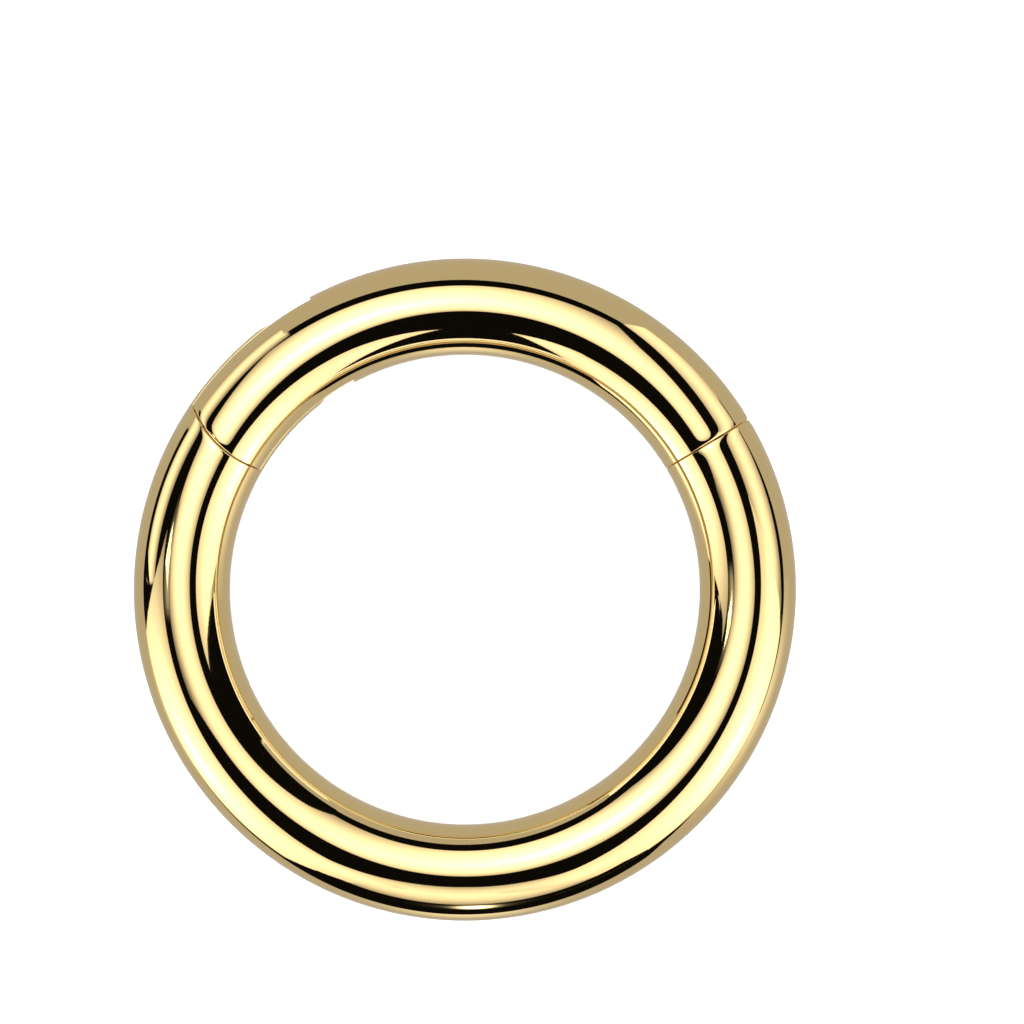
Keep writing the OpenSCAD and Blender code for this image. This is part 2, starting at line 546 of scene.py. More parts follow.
class Graph:
    """Adds nodes to one tree."""

    def __init__(self, tree):
        self.tree = tree
        tree.nodes.clear()

    def node(self, kind, settings=None, sockets=None):
        """A node with its settings and the values or links of its sockets."""
        node = self.tree.nodes.new(kind)
        for name, value in (settings or {}).items():
            setattr(node, name, value)
        for name, value in (sockets or {}).items():
            if isinstance(value, Socket):
                self.tree.links.new(value.socket, node.inputs[name])
            else:
                node.inputs[name].default_value = value
        return Socket(self, node)

    def noise(self, place, scale, detail=2.0):
        """Soft noise from 0 to 1, at a number of cycles a metre."""
        sockets = {"Vector": place, "Scale": scale, "Detail": detail}
        return self.node("ShaderNodeTexNoise", {}, sockets)["Fac"]

    def blend(self, share, first, second):
        """Colour from the first to the second, by a share that varies."""
        sockets = {"Factor": share, 6: (*first, 1), 7: (*second, 1)}
        return self.node("ShaderNodeMix", {"data_type": "RGBA"}, sockets)[2]

    def vector(self, operation, first, second):
        sockets = {0: first, 1: second}
        return self.node("ShaderNodeVectorMath", {"operation": operation}, sockets)


def new_material(name):
    """A material whose tree is still empty, and its graph."""
    material = bpy.data.materials.new(name)
    material.use_nodes = True
    return material, Graph(material.node_tree)


def darker(colour, share):
    """A darker shade of a colour."""
    return [share * c for c in colour]


def bending_tree():
    """Geometry Nodes tree that bends a straight blank round the ring."""
    tree = bpy.data.node_groups.new("Bend round the ring", "GeometryNodeTree")
    tree.is_modifier = True
    for name, kind in (("Blank", "Geometry"), ("Ring radius", "Float"), ("Lift", "Float"),
                       ("Polished", "Material"), ("Milled", "Material")):
        tree.interface.new_socket(name, in_out="INPUT", socket_type="NodeSocket" + kind)
    tree.interface.new_socket("Ring", in_out="OUTPUT", socket_type="NodeSocketGeometry")
    graph = Graph(tree)
    given = graph.node("NodeGroupInput")
    position = graph.node("GeometryNodeInputPosition")
    blank = graph.node("ShaderNodeSeparateXYZ", {}, {0: position})
    turn = blank["X"] / given["Ring radius"]
    reach = blank["Y"] + given["Ring radius"]
    bent = graph.node("ShaderNodeCombineXYZ", {}, {"X": reach * turn.sine(), "Y": reach * turn.cosine(),
                                                   "Z": blank["Z"] + given["Lift"]})
    kept = graph.node("GeometryNodeStoreNamedAttribute",
                      {"data_type": "FLOAT_VECTOR", "domain": "POINT"},
                      {"Geometry": given["Blank"], "Name": "blank", "Value": position})
    ring = graph.node("GeometryNodeSetPosition", {}, {"Geometry": kept, "Position": bent})
    cut = graph.node("GeometryNodeInputNamedAttribute", {"data_type": "BOOLEAN"}, {"Name": "cut"})
    real = graph.node("GeometryNodeRealizeInstances", {}, {"Geometry": ring})
    gold = graph.node("GeometryNodeSetMaterial", {}, {"Geometry": real, "Material": given["Polished"]})
    both = graph.node("GeometryNodeSetMaterial", {}, {"Geometry": gold, "Selection": cut["Attribute"],
                                                      "Material": given["Milled"]})
    graph.node("NodeGroupOutput", {}, {"Ring": both})
    return tree


def bend(skin, name, polished, milled):
    """The skin's blank, bent round the ring by the tree and made a plain mesh object."""
    blank, normals = skin.mesh(name + "_blank")
    source = bpy.data.objects.new(name + "_blank", blank)
    bpy.context.scene.collection.objects.link(source)
    tree = bpy.data.node_groups.get("Bend round the ring") or bending_tree()
    modifier = source.modifiers.new("Bend", "NODES")
    modifier.node_group = tree
    values = {"Ring radius": skin.wire.ring, "Lift": skin.wire.radius,
              "Polished": polished, "Milled": milled}
    for item in tree.interface.items_tree:
        if item.in_out == "INPUT" and item.name in values:
            modifier[item.identifier] = values[item.name]
    graph = bpy.context.evaluated_depsgraph_get()
    mesh = bpy.data.meshes.new_from_object(source.evaluated_get(graph), depsgraph=graph,
                                           preserve_all_data_layers=True)
    source.modifiers.remove(modifier)
    bpy.data.objects.remove(source)
    bpy.data.meshes.remove(blank)
    if len(mesh.loops) != len(normals):
        raise RuntimeError(f"{name}: the bent mesh has other corners than its blank")
    mesh.normals_split_custom_set(normals)
    return link(name, mesh)


def link(name, mesh):
    mesh.name = name
    piece = bpy.data.objects.new(name, mesh)
    bpy.context.scene.collection.objects.link(piece)
    return piece


# Finishes

# Cycles a metre of the polish's soft waves, faint marks and haze, and of the grain of milled faces
WAVES, MARKS, HAZE, GRAIN = 700.0, 900.0, 260.0, 30000.0
# How many times as long round the wire the faint marks are as they are wide along it
MARK_STRETCH = 14.0


def varied(level, share, noise):
    """A level that a noise from 0 to 1 varies by a share, down and up."""
    return level * (1 - share) + level * 2 * share * noise


def gold_shader(material, graph, colour, rough, height):
    """Bare metal whose colour, roughness and height vary."""
    bump = graph.node("ShaderNodeBump", {}, {"Height": height, "Distance": 1.0, "Strength": 1.0})
    sockets = {"Base Color": colour, "Metallic": 1.0, "Roughness": rough, "Normal": bump}
    shader = graph.node("ShaderNodeBsdfPrincipled", {}, sockets)
    graph.node("ShaderNodeOutputMaterial", {}, {"Surface": shader})
    return material


def polished_gold(name, colour, finish, attribute=None):
    """Mirror polish with soft waves, and faint marks that run round the wire."""
    material, graph = new_material(name)
    if attribute:
        place = graph.node("ShaderNodeAttribute", {"attribute_name": attribute})["Vector"]
    else:
        place = graph.node("ShaderNodeTexCoord")["Object"]
    waves = graph.noise(place, WAVES, detail=1.0)
    marks = graph.noise(graph.vector("MULTIPLY", place, (MARK_STRETCH, 1.0, 1.0)), MARKS, detail=3.0)
    haze = graph.noise(place, HAZE)
    tint = graph.blend(haze, darker(colour, 0.985), colour)
    height = waves * finish.waviness + marks * finish.marks
    return gold_shader(material, graph, tint, varied(finish.roughness, 0.3, haze), height)


def milled_gold(name, colour, finish):
    """Satin of the faces that mate inside the ring, with the fine grain that the cutter leaves."""
    material, graph = new_material(name)
    grain = graph.noise(graph.node("ShaderNodeTexCoord")["Object"], GRAIN)
    tint = graph.blend(grain, darker(colour, 0.8), darker(colour, 0.95))
    return gold_shader(material, graph, tint, varied(finish.cut_roughness, 0.2, grain),
                       grain * finish.cut_depth)


def finishes():
    """The ring's materials, made once."""
    finish = bpy.context.scene.clicker_finish
    made = bpy.data.materials
    return (made.get("mirror_gold") or polished_gold("mirror_gold", finish.colour, finish, "blank"),
            made.get("milled_gold") or milled_gold("milled_gold", finish.colour, finish),
            made.get("ground_gold") or polished_gold("ground_gold", finish.pin_colour, finish))


# The two arcs

def circle(centre, radius, count=48):
    """Loop round a hole, as a function of how much it is widened."""
    angle = np.linspace(0, 2 * math.pi, count, endpoint=False)
    ray = np.stack([np.cos(angle), np.sin(angle)], -1)
    return lambda grow: (np.asarray(centre) + ray * (radius + grow), ray)


def slotted(offset, run, radius, count=24):
    """Loop of a slot with round ends that runs inwards from an offset."""
    angle = np.concatenate([np.linspace(-90, 90, count), np.linspace(90, 270, count)])
    ray = np.stack([np.cos(np.radians(angle)), np.sin(np.radians(angle))], -1)
    middle = np.where(np.arange(2 * count) < count, offset, offset - run)
    centre = np.stack([middle, np.zeros(2 * count)], -1)
    return lambda grow: (centre + ray * (radius + grow), ray)


def pivot_plan(wire, sizes):
    """The hinge pin's place in the plan."""
    return outwards(sizes.pivot)[:2] * wire.ring


def upright(sides):
    """Directions in the plan, as directions in space."""
    return np.concatenate([sides, np.zeros((len(sides), 1))], -1)


def upright_hole(skin, centre, radius, top, depth, lip, facing, through=False):
    """Round hole about an upright line, from a level down, or up where facing is -1."""
    return skin.hole(circle(centre, radius),
                     lambda loop, down: skin.wire.from_plan(loop, top - facing * down),
                     upright, facing * UP, depth, lip, through)


def end_hole(skin, rim, turn, depth, lip, way):
    """Hole in the straight end face at a bearing, which runs into the metal on its side."""
    def put(loop, down):
        return skin.wire.beside(turn, np.full(len(loop), way * down), loop[:, 0], loop[:, 1])
    outward = outwards(turn)
    return skin.hole(rim, put, lambda sides: sides[:, :1] * outward + sides[:, 1:] * UP,
                     -way * along(turn), depth, lip)


def away_from_hole(rows):
    """Share of the edge wear that each row has: none on the side towards the hole."""
    fade_start, fade_end = 0.1, 0.35
    return 1 - smooth(-np.sin(rows[:, 2]), fade_start, fade_end)


def crispness(rows):
    """Share of the edge rounding that each row has: the least where there is no wear."""
    least = 0.35
    return least + (1 - least) * away_from_hole(rows)


def away_from_slot(rows, limit):
    """Share of the wear and rounding at the hinge's seam: none beside the slot."""
    fade_start, fade_end = limit - math.radians(15), limit - math.radians(4)
    from_flat = np.arccos(np.abs(np.cos(rows[:, 2])))
    return 1 - smooth(from_flat, fade_start, fade_end)


def hinge_end(wire, sizes, gap, way):
    return CurvedEnd(wire, sizes.seam_centre, wire.ring - sizes.seam_inset,
                     sizes.seam_width / 2 + gap, way)


# Rows that whole_rows gives to each side of the wire
TOP = slice(0, BROAD + 1)
OUTSIDE = slice(TOP.stop, TOP.stop + NARROW + 1)
UNDERSIDE = slice(OUTSIDE.stop, OUTSIDE.stop + BROAD + 1)
INSIDE = slice(UNDERSIDE.stop, UNDERSIDE.stop + NARROW + 1)
# Rows of a cheek: the corner towards the hole, the round of the wire and the corner away from it
INNER_CORNER = slice(0, CORNER)
ROUND = slice(INNER_CORNER.stop, INNER_CORNER.stop + BROAD + 1)
OUTER_CORNER = slice(ROUND.stop, ROUND.stop + CORNER)


def whole_rows(wire, side_angle):
    """Rows right round the wire; the rows where two of its sides meet are there twice."""
    limit = math.degrees(side_angle)
    return np.concatenate([round_rows(wire.radius, -limit, limit, BROAD),
                           round_rows(wire.radius, limit, 180 - limit, NARROW),
                           round_rows(wire.radius, 180 - limit, 180 + limit, BROAD),
                           round_rows(wire.radius, 180 + limit, 360 - limit, NARROW)])


def hoop_skin(wire, sizes):
    """The long arc, its two shoulders and the tongue between them."""
    skin = Skin(wire)
    flat = sizes.tongue / 2
    corner = corner_rows(wire.radius, flat, sizes.slot_round, above=False)
    limit = corner[0, 2]
    rows = whole_rows(wire, limit)
    half_gap = sizes.seam_gap / 2 / wire.ring
    face = sizes.closure - 2 * math.pi + half_gap
    closing = StraightEnd(wire, face, 1)
    seam = hinge_end(wire, sizes, sizes.seam_gap, 1)
    worn, rounded, beside = away_from_hole(rows), crispness(rows), away_from_slot(rows, limit)
    # At the closure the hoop's edge is half as round as the segment's
    closing_edge = edge_profile(sizes, worn, 0.5 * rounded, np.ones_like(worn))
    seam_edge = edge_profile(sizes, worn * beside, rounded * beside, beside)
    tube = skin.tube(rows, (closing, closing_edge), (seam, seam_edge), HOOP_COLUMNS)

    rim = circle((sizes.post_offset, 0), sizes.post / 2 + sizes.set_gap)
    bore, _ = end_hole(skin, rim, face, sizes.post_set + sizes.set_gap, sizes.lip, 1)
    skin.flat(-along(face), tube[0], bore)

    side = round_rows(wire.radius, math.degrees(limit), 180 - math.degrees(limit), NARROW)
    strip = np.concatenate([corner[::-1], side[1:], turned_over(corner)[1:]])
    edge = tongue_edge(skin, seam, sizes, strip)
    upper, lower = upright_hole(skin, pivot_plan(wire, sizes), sizes.pin / 2 + sizes.pin_gap,
                                flat, 2 * flat, sizes.lip, 1, through=True)
    for over, shoulder, line, rim in ((1, tube[-1, TOP], edge[:, 0], upper),
                                      (-1, tube[-1, UNDERSIDE][::-1], edge[:, -1], lower)):
        low = skin.cap(seam, shoulder, corner * (1, over, 1), over * flat)
        skin.flat(over * UP, np.concatenate([low, line[1:-1]]), rim)
    return skin


def tongue_edge(skin, seam, sizes, strip):
    """Side of the tongue, from the seam along the outside, round its end and back along the inside."""
    wire, turn = skin.wire, sizes.pivot
    offset, height, angle = strip.T
    pin = outwards(turn) * wire.ring
    shares = np.linspace(0, 1, SIDE_COLUMNS + 1)
    points, normals = [], []

    def beside(share, side):
        start = seam.bearing(0, side * offset)
        here = start + (turn - start) * share
        points.append(wire.place(here, side * offset, height))
        normals.append(side * outwards(here) * np.sin(angle)[:, None] + UP * np.cos(angle)[:, None])

    for share in shares:
        beside(share, 1)
    # The rows of the sides' round become those of an upright wall on the round end
    rounding, limit = sizes.slot_round, strip[CORNER, 2]
    lean = np.interp(angle, [0, limit, math.pi - limit, math.pi], [0, math.pi / 2, math.pi / 2, math.pi])
    inset = rounding * (1 - np.sin(lean))
    on_corner = np.abs(height) > abs(strip[CORNER, 1]) - SAME_POINT
    corner_height = sizes.tongue / 2 - rounding * (1 - np.abs(np.cos(lean)))
    rise = np.where(on_corner, np.sign(height) * corner_height, height)
    # Half the width of the stretch where the sides run into the round end
    soft = 0.004 * MM
    for sweep in np.linspace(90, -90, NOSE_COLUMNS + 1)[1:-1]:
        way = math.radians(sweep)
        ray = math.cos(way) * along(turn) + math.sin(way) * outwards(turn)
        side = 1 if sweep >= 0 else -1
        reach = wire.ring + side * offset
        ahead = pin @ ray
        space = ahead ** 2 - wire.ring ** 2 + reach ** 2
        hit = np.where(space > 0, -ahead + side * np.sqrt(np.abs(space)), np.inf)
        end = sizes.tongue_end / 2 - inset
        blend = smooth(hit - end, -soft, soft)
        hit = np.where(np.isfinite(hit), hit, 0)
        on_side, on_end = pin + ray * hit[:, None], pin + ray * end[:, None]
        plan = on_side * (1 - blend[:, None]) + on_end * blend[:, None]
        points.append(wire.from_plan(plan, height * (1 - blend) + rise * blend))
        here = np.arctan2(plan[:, 0], plan[:, 1])
        flank = side * outwards(here) * np.sin(angle)[:, None] + UP * np.cos(angle)[:, None]
        nose = ray * np.sin(lean)[:, None] + UP * np.cos(lean)[:, None]
        normals.append(unit(flank * (1 - blend[:, None]) + nose * blend[:, None]))
    for share in shares[::-1]:
        beside(share, -1)
    return skin.grid(np.stack(points), np.stack(normals))


def segment_skin(wire, sizes):
    """The hinged arc: a plain arm that ends in a fork of two cheeks."""
    skin = Skin(wire)
    flat = sizes.slot / 2
    corner = corner_rows(wire.radius, flat, sizes.slot_round, above=True)
    limit = corner[0, 2]
    rows = whole_rows(wire, limit)
    half_gap = sizes.seam_gap / 2 / wire.ring
    face = sizes.closure - half_gap
    closing = StraightEnd(wire, face, -1)
    root = StraightEnd(wire, sizes.slot_end, 1)
    seam = hinge_end(wire, sizes, 0, -1)
    worn = away_from_hole(rows)
    profile = edge_profile(sizes, worn, crispness(rows), np.ones_like(worn))
    arm = skin.tube(rows, (root, sharp(rows)), (closing, profile), ARM_COLUMNS)

    rim = slotted(sizes.post_offset, sizes.pocket_run, sizes.pocket / 2)
    pocket, _ = end_hole(skin, rim, face, sizes.pocket_depth, sizes.lip, -1)
    skin.flat(along(face), arm[-1], pocket)

    back = StraightEnd(wire, sizes.slot_end, -1)
    cheek = np.concatenate([mirrored(corner)[:-1], rows[TOP], corner[1:]])
    beside = away_from_slot(cheek, limit)
    beside[INNER_CORNER] = beside[OUTER_CORNER] = 0
    profile = edge_profile(sizes, away_from_hole(cheek) * beside, crispness(cheek) * beside, beside)
    centre = pivot_plan(wire, sizes)
    hole = sizes.pin / 2 + sizes.set_gap
    # The wire's underside is left open this far round the pin, and filled by rings round its hole
    opening = (sizes.pivot, 1.4 * hole)
    walls = []
    for over in (1, -1):
        section = cheek if over > 0 else turned_over(cheek)
        ends = (seam, profile), (back, sharp(section))
        if over > 0:
            points = skin.tube(section, *ends, CHEEK_COLUMNS)
        else:
            points, window = skin.tube(section, *ends, CHEEK_COLUMNS, around=opening)
        low = skin.cap(seam, points[0, ROUND], corner * (1, over, 1), over * flat)
        loop = np.concatenate([low, points[1:, -1], points[:0:-1, 0]])
        if over > 0:
            rim, _ = upright_hole(skin, centre, hole, flat, sizes.pin_top + sizes.set_gap - flat,
                                  sizes.lip, -1)
        else:
            outside = skin.window_ring(points, window, centre, hole)
            rim = lower_bore(skin, outside, centre, hole, -flat, sizes.lip)
        skin.flat(-over * UP, loop, rim)
        walls.append(points[-1])
    upper, lower = walls
    outer, inner = arm[0, OUTSIDE], arm[0, INSIDE]
    loop = np.concatenate([outer, lower[OUTER_CORNER], lower[INNER_CORNER],
                           inner, upper[INNER_CORNER][::-1], upper[OUTER_CORNER][::-1]])
    skin.flat(-along(sizes.slot_end), loop)
    return skin


def lower_bore(skin, outside, centre, radius, top, lip):
    """Bore from a rim on the wire's underside up to the slot; returns its upper rim."""
    plan = skin.wire.bent(outside)[:, :2]
    ray = unit(plan - centre)
    points, normals = [outside], [upright(-ray)]
    for lean in np.linspace(0, math.pi / 2, LIP_STEPS + 1):
        reach = radius + lip * (1 - math.cos(lean))
        points.append(skin.wire.from_plan(centre + ray * reach, top - lip * (1 - math.sin(lean))))
        normals.append(-math.cos(lean) * upright(ray) + math.sin(lean) * UP)
    points, normals = np.stack(points), np.stack(normals)
    skin.grid(np.concatenate([points, points[:, :1]], 1),
              np.concatenate([normals, normals[:, :1]], 1), cut=True)
    return points[-1]


# The pins

def lathe(name, rows, put, material, count=64):
    """Closed pin whose rows go from the middle of one end to the middle of the other."""
    mesh = bmesh.new()
    angle = np.linspace(0, 2 * math.pi, count, endpoint=False)
    rings = []
    for row in rows:
        if row[0] == 0:
            rings.append([mesh.verts.new(put(row, 0.0))] * count)
        else:
            rings.append([mesh.verts.new(put(row, a)) for a in angle])
    for low, high in zip(rings, rings[1:]):
        for k in range(count):
            corners = [low[k - 1], low[k], high[k], high[k - 1]]
            corners = [v for n, v in enumerate(corners) if v is not corners[n - 1]]
            mesh.faces.new(corners).smooth = True
    bmesh.ops.recalc_face_normals(mesh, faces=mesh.faces[:])
    data = bpy.data.meshes.new(name)
    mesh.to_mesh(data)
    mesh.free()
    data.materials.append(material)
    return link(name, data)


def rounded_end(radius, position, rounding, way, dome=0.0):
    """Rows of a pin's end, from its middle to its side. Way is the direction in which it points."""
    flat = [(radius - rounding) * share for share in (0, 0.35, 0.7, 1)]
    rows = [(r, position + way * dome * (1 - (r / radius) ** 2)) for r in flat]
    for lean in np.radians([22.5, 45, 67.5, 90]):
        rows.append((radius - rounding * (1 - math.sin(lean)),
                     position - way * rounding * (1 - math.cos(lean))))
    return rows


def hinge_pin(wire, sizes, gold):
    """Pin ground flush with the wire underneath, with a rounded end inside the upper cheek."""
    centre, radius = pivot_plan(wire, sizes), sizes.pin / 2
    rounding, chamfer = 0.05 * MM, 0.012 * MM

    def put(row, angle):
        plan = centre + row[0] * np.array([math.cos(angle), math.sin(angle)])
        offset = np.linalg.norm(plan) - wire.ring
        ground = -math.sqrt(wire.radius ** 2 - offset ** 2)
        return (*plan, wire.radius + max(row[1], ground + row[2]))

    # Each row has its reach, its height and its least height over the ground end
    low = -wire.radius
    rows = [(radius * share, low, 0.0) for share in (0, 0.25, 0.5, 0.75, 0.92, 0.97)]
    rows += [(radius * 0.99, low, chamfer / 3), (radius, low, chamfer)]
    top = rounded_end(radius, sizes.pin_top, rounding, 1)
    rows += [(reach, height, 0.0) for reach, height in reversed(top)]
    return lathe("pivot_pin", rows, put, gold)


def catch_post(wire, sizes, gold):
    """Post set in the end of the hoop, with a rounded tip that guides the segment over it."""
    turn, radius = sizes.closure, sizes.post / 2
    tip_round, foot_round = 0.09 * MM, 0.02 * MM
    middle = outwards(turn) * (wire.ring + sizes.post_offset) + UP * wire.radius

    def put(row, angle):
        around = outwards(turn) * math.cos(angle) + UP * math.sin(angle)
        return middle + around * row[0] + along(turn) * row[1]

    tip = rounded_end(radius, -sizes.post_reach, tip_round, -1)
    foot = rounded_end(radius, sizes.post_set, foot_round, 1)
    return lathe("catch_post", tip + foot[::-1], put, gold)


# Operators

class CLICKER_OT_hoop(bpy.types.Operator):
    """Makes the long arc with the hinge's tongue"""
    bl_idname = "clicker.hoop"
    bl_label = "Hoop"

    def execute(self, context):
        sizes = context.scene.clicker_sizes
        polished, milled, _ = finishes()
        piece = bend(hoop_skin(Wire(sizes), sizes), "hoop_arc", polished, milled)
        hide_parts("hoop")
        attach(piece, "hoop")
        return {"FINISHED"}


class CLICKER_OT_segment(bpy.types.Operator):
    """Makes the hinged arc with the two cheeks of the hinge"""
    bl_idname = "clicker.segment"
    bl_label = "Segment"

    def execute(self, context):
        sizes = context.scene.clicker_sizes
        polished, milled, _ = finishes()
        piece = bend(segment_skin(Wire(sizes), sizes), "segment_arc", polished, milled)
        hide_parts("segment")
        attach(piece, "segment")
        return {"FINISHED"}


class CLICKER_OT_pins(bpy.types.Operator):
    """Makes the hinge pin and the catch post"""
    bl_idname = "clicker.pins"
    bl_label = "Pins"

    def execute(self, context):
        sizes = context.scene.clicker_sizes
        wire, gold = Wire(sizes), finishes()[2]
        pin = hinge_pin(wire, sizes, gold)
        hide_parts("hinge_pin")
        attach(pin, "segment")
        post = catch_post(wire, sizes, gold)
        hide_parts("catch_pin")
        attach(post, "hoop")
        return {"FINISHED"}


# The studio

# The camera is straight above, and off the ring's middle as in the photo
CAMERA = (1.003 * MM, 1.652 * MM, 303.8 * MM)
# Its lens and the width of its sensor, in millimetres as Blender takes them
LENS, SENSOR = 500.0, 36.0
# How near and how far it sees
NEAREST, FARTHEST = 0.01, 2.0
FLOOR_RADIUS = 0.6
# Cycles a metre of the floor's faint mottling
MOTTLING = 90.0
# Degrees between the columns of a strip
STRIP_STEP = 3.0


def bell(graph, place, middle, spread, across=None, narrow=None):
    """Share of a glow that reaches a place: a 1/e part where it is a spread away from the middle.

    In the direction across, that part is reached a narrow spread away.
    """
    away = graph.vector("SUBTRACT", place, middle)
    far = graph.node("ShaderNodeVectorMath", {"operation": "LENGTH"}, {0: away})["Value"]
    power = far * far * (1 / spread ** 2)
    if across is not None:
        side = graph.vector("DOT_PRODUCT", away, across)["Value"]
        power = power + side * side * (1 / narrow ** 2 - 1 / spread ** 2)
    return (1 / math.e) ** power


def glow(name, even, *bells, one_sided=False):
    """Light of a card: an even level and bells of added light on it, with a soft rim.

    Each bell is its added brightness and what the function bell takes. Where the metal mirrors the
    card twice or more, the whole card shows one dimmer level, and a paler tint where it is just twice.
    One-sided light leaves the back clear.
    """
    material, graph = new_material(name)
    light = bpy.context.scene.clicker_light
    place = graph.node("ShaderNodeTexCoord")["Object"]
    strength = even
    for added, *shape in bells:
        strength = strength + added * bell(graph, place, *shape)
    # Glossy Depth counts how often the metal has mirrored the ray
    depth = graph.node("ShaderNodeLightPath")["Glossy Depth"]
    twice, again = depth.above(1.5), depth.above(2.5)
    dimmed = min(even + sum(b[0] for b in bells), light.twice) * (1 - again * (1 - light.again))
    strength = strength * (1 - twice) + dimmed * twice
    tint = graph.blend(twice - again, (1, 1, 1), light.paler)
    shine = graph.node("ShaderNodeVectorMath", {"operation": "SCALE"}, {0: tint, "Scale": strength})
    lit = graph.node("ShaderNodeEmission", {}, {"Color": shine})
    clear = graph.node("ShaderNodeBsdfTransparent")
    rim = graph.node("ShaderNodeAttribute", {"attribute_name": "rim"})["Fac"]
    shown = rim * rim * (3 - 2 * rim)
    if one_sided:
        shown = shown * (1 - graph.node("ShaderNodeNewGeometry")["Backfacing"])
    mixed = graph.node("ShaderNodeMixShader", {}, {0: shown, 1: clear, 2: lit})
    # Only mirrored rays find the cards, so that the flags and the nearer cards hide them
    material.cycles.emission_sampling = "NONE"
    graph.node("ShaderNodeOutputMaterial", {}, {"Surface": mixed})
    return material


def mirrored_only(thing):
    """The metal mirrors this thing, and nothing else shows it."""
    thing.visible_camera = False
    thing.visible_diffuse = False
    thing.visible_transmission = False
    thing.visible_volume_scatter = False
    thing.visible_shadow = False
    thing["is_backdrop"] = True


def card(name, corners, material, rim=3 * MM):
    """Flat card with a soft rim, that only the metal mirrors."""
    corners = np.array(corners, float)
    middle = corners.mean(0)
    reach = np.linalg.norm(corners - middle, axis=1, keepdims=True)
    outer = corners + (corners - middle) / reach * rim
    inner = corners - (corners - middle) / reach * rim
    count = len(corners)
    points = [middle, *inner, *outer]
    faces = [(0, 1 + k, 1 + (k + 1) % count) for k in range(count)]
    faces += [(1 + k, 1 + count + k, 1 + count + (k + 1) % count, 1 + (k + 1) % count)
              for k in range(count)]
    mesh = bpy.data.meshes.new(name)
    mesh.from_pydata([tuple(p) for p in points], [], faces)
    values = [1.0] * (1 + count) + [0.0] * count
    mesh.attributes.new("rim", "FLOAT", "POINT").data.foreach_set("value", values)
    mesh.materials.append(material)
    mirrored_only(link(name, mesh))


def sight(turn, polar):
    """Direction at a bearing and an angle from straight up, both in degrees."""
    turn, polar = math.radians(turn), math.radians(polar)
    return np.array([math.sin(polar) * math.sin(turn), math.sin(polar) * math.cos(turn),
                     math.cos(polar)])


def level_across(facing):
    """Level direction in a card's plane, clockwise as seen from above."""
    return along(math.radians(facing[0]))


def on_plane(facing, *sights):
    """Points that the ring sees at bearings and angles, on a plane square to one more at a distance."""
    turn, polar, distance = facing
    square = sight(turn, polar)
    return [sight(*s) * distance / (sight(*s) @ square) for s in sights]


def spot(facing, turn, polar):
    """Point of a plane that the ring sees at one bearing and angle."""
    return on_plane(facing, (turn, polar))[0]


